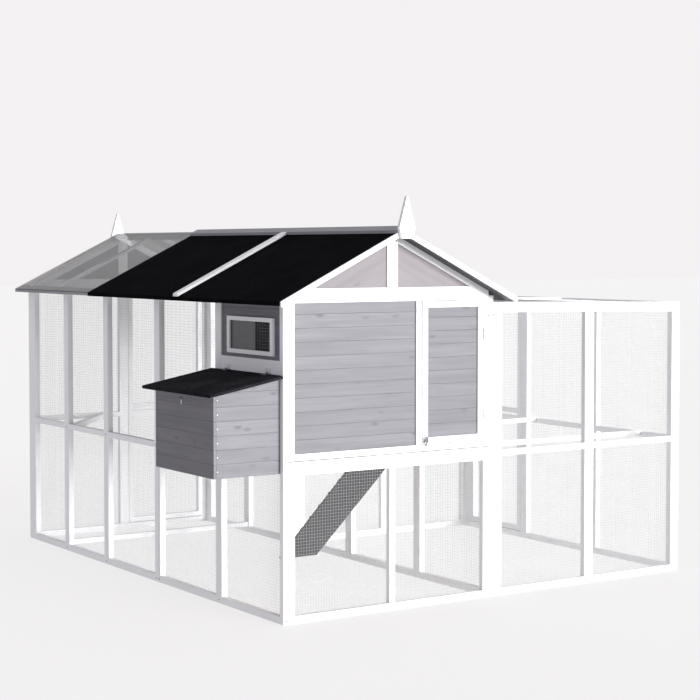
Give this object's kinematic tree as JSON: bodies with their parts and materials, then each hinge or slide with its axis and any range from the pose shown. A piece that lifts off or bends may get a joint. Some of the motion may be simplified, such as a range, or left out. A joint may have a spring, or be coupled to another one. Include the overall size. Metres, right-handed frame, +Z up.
{
  "type": "chicken coop",
  "caption": "Gabled walk-in hen run with a raised boarded house, an outside nest box, a ramp and a lower meshed run at its side",
  "frame": {"origin": "on the ground under the ridge, at the middle of the front wall's thickness", "axes": "+X to the right along the front, from the nest box side to the side run; +Y from the front to the back along the ridge; +Z up"},
  "size_m": [2.5459, 2.736, 1.748],
  "materials": {
    "white_timber": "white painted softwood, fine grain showing through",
    "grey_timber": "mid-grey painted softwood boards",
    "bare_timber": "bare planed softwood",
    "roofing_felt": "black mineral felt, granular",
    "welded_mesh": "galvanised welded wire mesh",
    "clear_sheet": "clear plastic sheet",
    "hardware": "dark zinc-plated steel",
    "white_metal": "white painted steel strip",
    "galvanised": "galvanised sheet with a painted timber front"
  },
  "bodies": {
    "coop": {"clear_roof_frame": "white_timber", "clear_roof_sheets": "clear_sheet", "corner_perch": "white_timber", "end_wall_mesh": "welded_mesh", "floor_tie": "white_timber", "frame_screws": "hardware", "front_boards": "grey_timber", "front_lower_frame": "white_timber", "front_upper_frame": "white_timber", "gable_boards": "grey_timber", "gable_frames": "white_timber", "hinge_jamb_halves": "hardware", "house_back_boards": "grey_timber", "house_floor": "bare_timber", "house_left_boards": "grey_timber", "house_right_boards": "grey_timber", "left_wall_frame": "white_timber", "left_wall_mesh": "welded_mesh", "nest_floor": "bare_timber", "nest_front_boards": "grey_timber", "nest_side_boards": "grey_timber", "perch_brackets": "white_metal", "rafters": "grey_timber", "rear_wall_frame": "white_timber", "ridge_cap": "grey_timber", "ridge_finials": "white_timber", "right_wall_frame": "white_timber", "right_wall_mesh": "welded_mesh", "roof_boards": "grey_timber", "roof_felt": "roofing_felt", "roof_trim_boards": "white_timber", "run_perches": "white_timber", "side_front_frame": "white_timber", "side_rear_frame": "white_timber", "side_right_frame": "white_timber", "side_roof_frames": "white_timber", "side_roof_mesh": "welded_mesh", "side_run_mesh": "welded_mesh", "window_frame": "white_timber", "window_mesh": "welded_mesh"},
    "door_of_house": {"house_door_frame": "white_timber", "house_door_boards": "grey_timber", "house_door_hinges": "hardware", "house_door_latch_plate": "hardware"},
    "toggle": {"house_door_latch": "hardware"},
    "lid_of_nest": {"nest_lid": "grey_timber", "nest_lid_felt": "roofing_felt", "nest_lid_hinges": "hardware"},
    "hook": {"nest_hook": "hardware"},
    "pane": {"window_pane": "clear_sheet"},
    "ramp_plank": {"ramp": "grey_timber"},
    "drawer": {"tray": "galvanised"},
    "door_of_run": {"rear_door_frame": "white_timber", "rear_door_mesh": "welded_mesh", "rear_door_hinges": "hardware"},
    "rear_button": {"rear_door_button": "grey_timber"},
    "door_of_side_run": {"side_door_frame": "white_timber", "side_door_mesh": "welded_mesh", "side_door_hinges": "hardware"},
    "side_button": {"side_door_button": "grey_timber"}
  },
  "joints": [
    {"name": "house_door_swing", "type": "hinge", "parent": "coop", "child": "door_of_house", "pos_m": [0.4835, -0.0172, 1], "axis": [0, 0, 1], "range_deg": [0, 110]},
    {"name": "house_door_toggle_turn", "type": "hinge", "parent": "door_of_house", "child": "toggle", "pos_m": [0.173, -0.015, 0.715], "axis": [0, -1, 0], "range_deg": [0, 90]},
    {"name": "nest_lid_lift", "type": "hinge", "parent": "coop", "child": "lid_of_nest", "pos_m": [-0.5427, 0.2665, 1.0221], "axis": [0, 1, 0], "range_deg": [0, 85]},
    {"name": "nest_hook_turn", "type": "hinge", "parent": "coop", "child": "hook", "pos_m": [-0.848, 0.2775, 0.922], "axis": [-1, 0, 0], "range_deg": [0, 140]},
    {"name": "window_pane_slide", "type": "slide", "parent": "coop", "child": "pane", "axis": [0, -1, 0], "range_m": [0, 0.137]},
    {"name": "ramp_lift", "type": "hinge", "parent": "coop", "child": "ramp_plank", "pos_m": [0.338, 0.54031, 0.61963], "axis": [1, 0, 0], "range_deg": [0, 75]},
    {"name": "tray_slide", "type": "slide", "parent": "coop", "child": "drawer", "axis": [0, -1, 0], "range_m": [0, 0.42]},
    {"name": "rear_door_swing", "type": "hinge", "parent": "coop", "child": "door_of_run", "pos_m": [0.4875, 2.5702, 0.64], "axis": [0, 0, -1], "range_deg": [0, 110]},
    {"name": "rear_button_turn", "type": "hinge", "parent": "coop", "child": "rear_button", "pos_m": [0.001, 2.5665, 0.6325], "axis": [0, 1, 0], "range_deg": [0, 90]},
    {"name": "side_door_swing", "type": "hinge", "parent": "coop", "child": "door_of_side_run", "pos_m": [1.6627, 1.57, 0.64], "axis": [0, 0, 1], "range_deg": [0, 110]},
    {"name": "side_button_turn", "type": "hinge", "parent": "coop", "child": "side_button", "pos_m": [1.659, 1.1095, 0.6325], "axis": [-1, 0, 0], "range_deg": [0, 90]}
  ]
}
